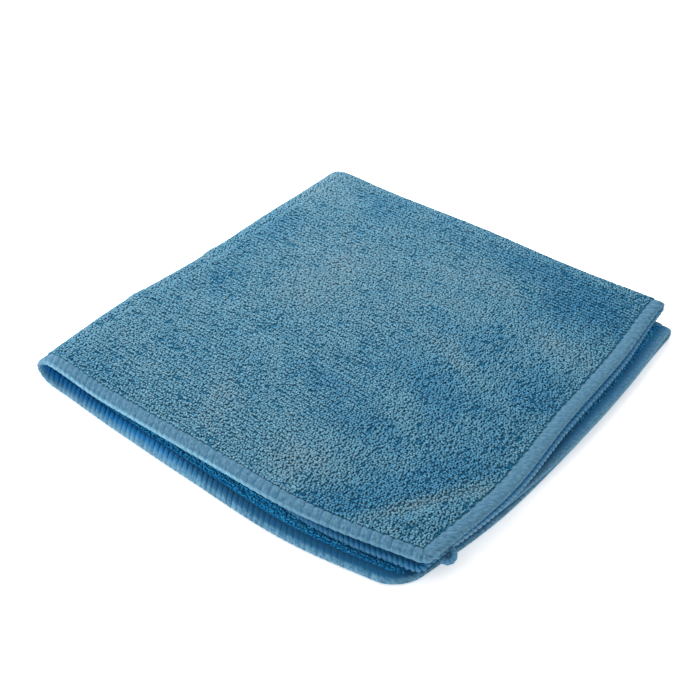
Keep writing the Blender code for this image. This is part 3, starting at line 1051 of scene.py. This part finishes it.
def hem_band():
    """The oval profile along the edge; each rib raises it by the root of (1 - place in the rib squared)."""
    from_edge = np.concatenate((profile["from_edge"], profile["from_edge"][-2::-1]))
    half = np.concatenate((profile["half"], -profile["half"][-2::-1]))
    phases = (np.arange(rib_count)[:, None] + RIB_PHASES).ravel()
    rib = (phases // 1).astype(int)
    uneven = 1 + RIB_UNEVEN * chance.uniform(-1, 1, rib_count)[rib]
    cord = np.sqrt(np.clip(1 - (2 * (phases % 1) - 1) ** 2, 0, 1))[:, None]
    centre = np.interp(phases, rib_phase, path_length)
    slant = np.where(half > 0, RIB_SLANTS[0], -RIB_SLANTS[1])
    place = centre[:, None] + (slant * from_edge)[None]
    edge_a, edge_b = along_edge(centre, 0 * centre)
    bold = np.clip(RIB_LEAST + bells(edge_a, edge_b, RIB_COLUMNS, RIBS, "bold"), 0, RIB_MOST)
    bold = (bold * uneven)[:, None]
    scallop = bells(edge_a, edge_b, RIB_COLUMNS, RIBS, "scallop")[:, None]
    cord_height = RIB_HEIGHT * bold * (cord - RIB_LEVEL) * ease(np.abs(half), *RIB_STARTS)[None]
    reach = SCALLOP * scallop * (cord - SCALLOP_LEVEL) * (1 - ease(from_edge, 0, SCALLOP_WIDTH))[None]
    inset = np.clip(from_edge[None] - reach, -SCALLOP_MOST, None)
    across, along = along_edge(place, inset)
    middle, _, _, out = standing(across, along)
    points = middle + out * (half[None] + np.sign(half)[None] * cord_height)[..., None]
    index = np.arange(across.size).reshape(across.shape)
    down, right = np.roll(index, -1, axis=0), np.roll(index, -1, axis=1)
    faces = np.stack((index, down, np.roll(down, -1, axis=1), right), axis=-1).reshape(-1, 4)
    streak = chance.uniform(0, 1, rib_count)[rib]
    marks = hem_marks(edge_a, edge_b, from_edge, half, bold * (1 - cord), streak)
    around = np.cumsum(np.concatenate(([0], np.hypot(np.diff(from_edge), np.diff(half)))))
    uv = np.stack(np.broadcast_arrays(centre[:, None], around[None]), axis=-1).reshape(-1, 2)
    return points.reshape(-1, 3), faces, marks.reshape(-1, 4), uv


# %% [markdown]
# Overlock thread is loose textured polyester, softer and paler than the terry.  Its filaments run round the
# edge, so the material stretches a fine noise that way on the band's own map.  The grooves between the ribs
# get painted shade, the rim a painted highlight, and the faces that lie between two layers a painted deep
# blue for the light bounced between them.  A wide noise makes the thread blotchy.  The marks for this are
# painted light and shade set by place, to match the photographed light, so they are part of the model's
# colours from every side.

# %% The thread's material
# The groove colour is painted shade.
THREAD_GROOVE_SHADE = (0.004, 0.078, 0.180, 1.0)
THREAD = (0.036, 0.118, 0.190, 1.0)
THREAD_PALE = (0.085, 0.178, 0.255, 1.0)
# The rim and edge colours are painted highlights.
THREAD_RIM_HIGHLIGHT = (0.120, 0.265, 0.380, 1.0)
THREAD_EDGE_HIGHLIGHT = (0.200, 0.400, 0.520, 1.0)
THREAD_BLOTCH = (0.36, 0.62, 0.72, 1.0)
# The deep colour is painted blue light bounced between two layers.
THREAD_BOUNCE_BLUE = (0.010, 0.260, 0.620, 1.0)
FILAMENT_STRETCH = (2400, 520, 1)
BLOTCH_STRETCH = (750, 650, 1)
THREAD_SHEEN_TINT = (0.45, 0.78, 1.0, 1.0)
THREAD_BUMP = (0.7, 0.25 * MM)
THREAD_SETTINGS = {
    "Roughness": 0.8, "Specular IOR Level": 0.15, "Sheen Weight": 0.15, "Sheen Roughness": 0.5,
}


def hem_thread():
    """Painted groove shade to thread colour by the rib's height; paler filaments, painted rim highlight and
    bounce blue.
    """
    material, nodes, links, shader = new_material("hem_thread")
    cord, rim, under, blotch_share = four_marks(nodes, links)
    place = nodes.new("ShaderNodeUVMap")
    place.uv_map = "run"
    place = place.outputs["UV"]
    filament = noise(nodes, links, place, 1, 3, FILAMENT_STRETCH)
    pale = ramped(nodes, links, filament, 0.35, 0.68)
    colour = mixed(nodes, links, pale, THREAD, THREAD_PALE)
    # Painted highlight on the rim, strongest on the bright line.
    colour = mixed(nodes, links, ramped(nodes, links, rim, 0.0, 0.6), colour, THREAD_RIM_HIGHLIGHT)
    # Painted blue bounce light on faces between two layers.
    colour = mixed(nodes, links, under, colour, THREAD_BOUNCE_BLUE)
    colour = mixed(nodes, links, ramped(nodes, links, rim, 0.6, 1.0), colour, THREAD_EDGE_HIGHLIGHT)
    blotch = noise(nodes, links, place, 1, 2, BLOTCH_STRETCH)
    share = nodes.new("ShaderNodeMath")
    share.operation = "MULTIPLY"
    links.new(ramped(nodes, links, blotch, 0.42, 0.62), share.inputs[0])
    links.new(blotch_share, share.inputs[1])
    colour = mixed(nodes, links, share.outputs[0], colour, THREAD_BLOTCH, "MULTIPLY")
    # Painted shade in the grooves between the ribs.
    colour = mixed(nodes, links, ramped(nodes, links, cord, 0.0, 0.8), THREAD_GROOVE_SHADE, colour)
    dull_fibre(nodes, links, shader, colour, THREAD_SETTINGS, THREAD_SHEEN_TINT, filament, THREAD_BUMP)
    return material


thread = hem_thread()
band_points, band_faces, band_marks, band_uv = hem_band()
band = put("overlock_hem", band_points, band_faces, thread, band_marks, band_uv)

# %% [markdown]
# The overlock's needle thread shows as a row of small stitches where the band meets the pile, painted dark
# with shade.  Each is one small arch lying along the hem, with one to a rib, on both faces.  Along the
# top's front hem they are painted paler, as in the photograph, and on the lower layers they take the
# painted blue bounce light.

# %% Needle stitches
NEEDLE_FROM_EDGE = 6.5 * MM
NEEDLE_LIFT = 0.25 * MM
STITCH_SIZES = {"width": 1.5, "height": 0.42, "radius": 0.36, "lean": 0, "twist": 0}
STITCH_SIDES, STITCH_RINGS = 3, 2
STITCH_AHEAD = 0.5 * MM
STITCH_FRONT = HALF_ALONG - 10 * MM
STITCH_PAINTED_LIGHT = (0.55, 0.2)


def needle_line():
    """A short low arch a rib, on the outer and on the inner face, along the inner line of the band."""
    centre = np.interp(np.arange(rib_count) + 0.5, rib_phase, path_length)
    level = np.zeros(rib_count)
    ahead = along_edge(centre + STITCH_AHEAD, NEEDLE_FROM_EDGE + level)
    across, along = along_edge(centre, NEEDLE_FROM_EDGE + level)
    middle, _, _, out = standing(across, along)
    run = np.tile(unit(folded(*ahead) - middle), (2, 1))
    up = np.concatenate((out, -out))
    foot = np.tile(middle, (2, 1)) + up * (BACKING / 2 + NEEDLE_LIFT)
    sizes = [np.full(2 * rib_count, size) * MM for size in STITCH_SIZES.values()]
    points, faces, _ = standing_arches(foot, run, up, sizes, STITCH_SIDES, STITCH_RINGS)
    # Painted light: the stitches run from the painted gap shade to lighter along the top's front hem, and
    # on the lower layers take the painted blue bounce light.
    on_front, lower = (across > 0) & (along > STITCH_FRONT), across < 0
    marks = np.zeros((*points.shape[:2], 4))
    marks[..., 0] = np.tile(STITCH_PAINTED_LIGHT[0] * on_front + STITCH_PAINTED_LIGHT[1] * lower, 2)[:, None]
    marks[..., 3] = np.tile(lower, 2)[:, None]
    return put("needle_line", points.reshape(-1, 3), faces, yarn, marks.reshape(-1, 4))


stitches = needle_line()

# %% [markdown]
# Where the overlock ends, its thread chain runs on past the corner.  On this cloth the tail has curled into
# a small coil that hangs at the right of the front corner.  It is a tube of the same thread on a flat
# spiral that comes down off the hem.

# %% The curled end of the thread
NUB_CENTRE = np.array((96.0, -85.2, 5.4)) * MM
NUB_TURNS = 1.55
NUB_START = np.radians(150)
NUB_RADII = (3.0 * MM, 0.5 * MM)
NUB_SHRINK = 1.3
NUB_DROP = 2.6 * MM
NUB_DROP_END = 0.35
NUB_RISE = 0.9 * MM
NUB_SINK = 0.5 * MM
NUB_CORD = 1.25 * MM
NUB_STITCH = 1.5 * MM
NUB_SWELL = 0.18
NUB_BLUNT = 8
NUB_THINNEST = 0.02
NUB_RINGS = 90
NUB_SIDES = 10
# The coil's marks paint shade between the chain's stitches, a little rim highlight and a little blue bounce
# light.
NUB_PAINTED_LIGHT = (0.35, 0.20, 0.15)


def curled_end():
    """A spiral whose radius shrinks as t to the power 1.3; its tube swells with the chain's stitches."""
    t = np.linspace(0, 1, NUB_RINGS)
    turn = NUB_START - 2 * np.pi * NUB_TURNS * t
    radius = NUB_RADII[0] + (NUB_RADII[1] - NUB_RADII[0]) * t**NUB_SHRINK
    lift = NUB_DROP * (1 - ease(t, 0, NUB_DROP_END)) + NUB_RISE * np.sin(np.pi * t) - NUB_SINK * t
    line = NUB_CENTRE + np.stack((radius * np.cos(turn), radius * np.sin(turn), lift), axis=-1)
    ahead = unit(np.gradient(line, axis=0))
    side = unit(np.cross(ahead, (0, 0, 1.0)))
    up = np.cross(side, ahead)
    length = np.concatenate(([0], np.cumsum(np.linalg.norm(np.diff(line, axis=0), axis=1))))
    chain = np.abs(np.sin(np.pi * length / NUB_STITCH))
    rounded_ends = np.sqrt(np.clip(1 - (2 * t - 1) ** NUB_BLUNT, NUB_THINNEST, 1))
    thick = NUB_CORD * (1 - NUB_SWELL + NUB_SWELL * chain) * rounded_ends
    angle = 2 * np.pi * np.arange(NUB_SIDES) / NUB_SIDES
    spread = side[:, None] * np.cos(angle)[None, :, None] + up[:, None] * np.sin(angle)[None, :, None]
    rings = (line[:, None] + thick[:, None, None] * spread).reshape(-1, 3)
    points = np.concatenate((line[:1], rings, line[-1:]))
    marks = np.zeros((len(points), 4))
    marks[1:-1, 0] = np.repeat(NUB_PAINTED_LIGHT[0] + (1 - NUB_PAINTED_LIGHT[0]) * chain, NUB_SIDES)
    marks[:, 1:3] = NUB_PAINTED_LIGHT[1:]
    uv = np.zeros((len(points), 2))
    uv[1:-1] = np.stack((np.repeat(length, NUB_SIDES), np.tile(angle * NUB_CORD, NUB_RINGS)), axis=-1)
    return put("curled_end", points, arch_faces(NUB_SIDES, NUB_RINGS)[:, ::-1], thread, marks, uv)


nub = curled_end()

# %% [markdown]
# ## The floor, the light and the camera
#
# The photograph is a cut-out on white, lit softly from above.  A plain pale floor and large lights give the
# same light, and the floor glows faintly, which keeps the cloth's shadow very pale.  The camera stands
# where the photograph was taken: its place was worked out from the corners of the cloth, which pins its
# bearing, height and distance.

# %% Floor
FLOOR_HALF = 3.0
FLOOR_COLOUR = (0.94, 0.94, 0.94, 1.0)
FLOOR_ROUGHNESS = 0.9
FLOOR_GLOW = 0.36
WHITE = (1.0, 1.0, 1.0, 1.0)
floor_mesh = bpy.data.meshes.new("floor")
floor_mesh.from_pydata(
    [(FLOOR_HALF * a, FLOOR_HALF * b, 0) for a, b in ((-1, -1), (1, -1), (1, 1), (-1, 1))],
    [], [(0, 1, 2, 3)],
)
floor = bpy.data.objects.new("floor", floor_mesh)
bpy.context.scene.collection.objects.link(floor)
paper, _, _, paper_shader = new_material("pale_floor")
paper_shader.inputs["Base Color"].default_value = FLOOR_COLOUR
paper_shader.inputs["Roughness"].default_value = FLOOR_ROUGHNESS
paper_shader.inputs["Emission Color"].default_value = WHITE
paper_shader.inputs["Emission Strength"].default_value = FLOOR_GLOW
floor.data.materials.append(paper)

# %% Lights, in metres and watts
LIGHT_COLUMNS = ("name", "place", "target", "size", "power")
LIGHTS = (
    ("key_light", (-0.38, 0.12, 0.40), (-0.05, 0.0, 0.0), 0.60, 6.4),
    ("fill_light", (-0.2, -1.1, 0.7), (0.0, 0.0, 0.0), 0.9, 4.0),
)
STUDIO_STRENGTH = 0.83


def softbox(name, place, target, size, power):
    """A square area light at place that faces target."""
    lamp = bpy.data.lights.new(name, "AREA")
    lamp.shape = "SQUARE"
    lamp.size = size
    lamp.energy = power
    box = bpy.data.objects.new(name, lamp)
    bpy.context.scene.collection.objects.link(box)
    box.location = place
    box.rotation_mode = "QUATERNION"
    box.rotation_quaternion = (Vector(target) - Vector(place)).to_track_quat("-Z", "Y")


for row in LIGHTS:
    softbox(**dict(zip(LIGHT_COLUMNS, row)))
world = bpy.data.worlds.new("studio")
bpy.context.scene.world = world
world.use_nodes = True
studio = world.node_tree.nodes["Background"].inputs
studio["Color"].default_value = WHITE
studio["Strength"].default_value = STUDIO_STRENGTH
bpy.context.scene.view_settings.view_transform = "Standard"
print("lights:", [row[0] for row in LIGHTS])

# %% Camera
CAMERA_AZIMUTH = np.radians(36.7)
CAMERA_ELEVATION = np.radians(37.4)
CAMERA_DISTANCE = 0.5343
CAMERA_TARGET = np.array((-0.0066, -0.0038, 0.0))
CAMERA_SENSOR = 36
CAMERA_LENS = 63.5
CAMERA_CLIP = 0.01
to_camera = np.array((
    np.sin(CAMERA_AZIMUTH) * np.cos(CAMERA_ELEVATION),
    -np.cos(CAMERA_AZIMUTH) * np.cos(CAMERA_ELEVATION),
    np.sin(CAMERA_ELEVATION),
))
camera_data = bpy.data.cameras.new("camera")
camera_data.sensor_width = CAMERA_SENSOR
camera_data.lens = CAMERA_LENS
camera_data.clip_start = CAMERA_CLIP
camera = bpy.data.objects.new("camera", camera_data)
bpy.context.scene.collection.objects.link(camera)
camera.location = CAMERA_TARGET + to_camera * CAMERA_DISTANCE
camera.rotation_mode = "QUATERNION"
camera.rotation_quaternion = Vector(-to_camera).to_track_quat("-Z", "Y")
bpy.context.scene.camera = camera
print("camera at, in m:", [round(float(v), 3) for v in camera.location])
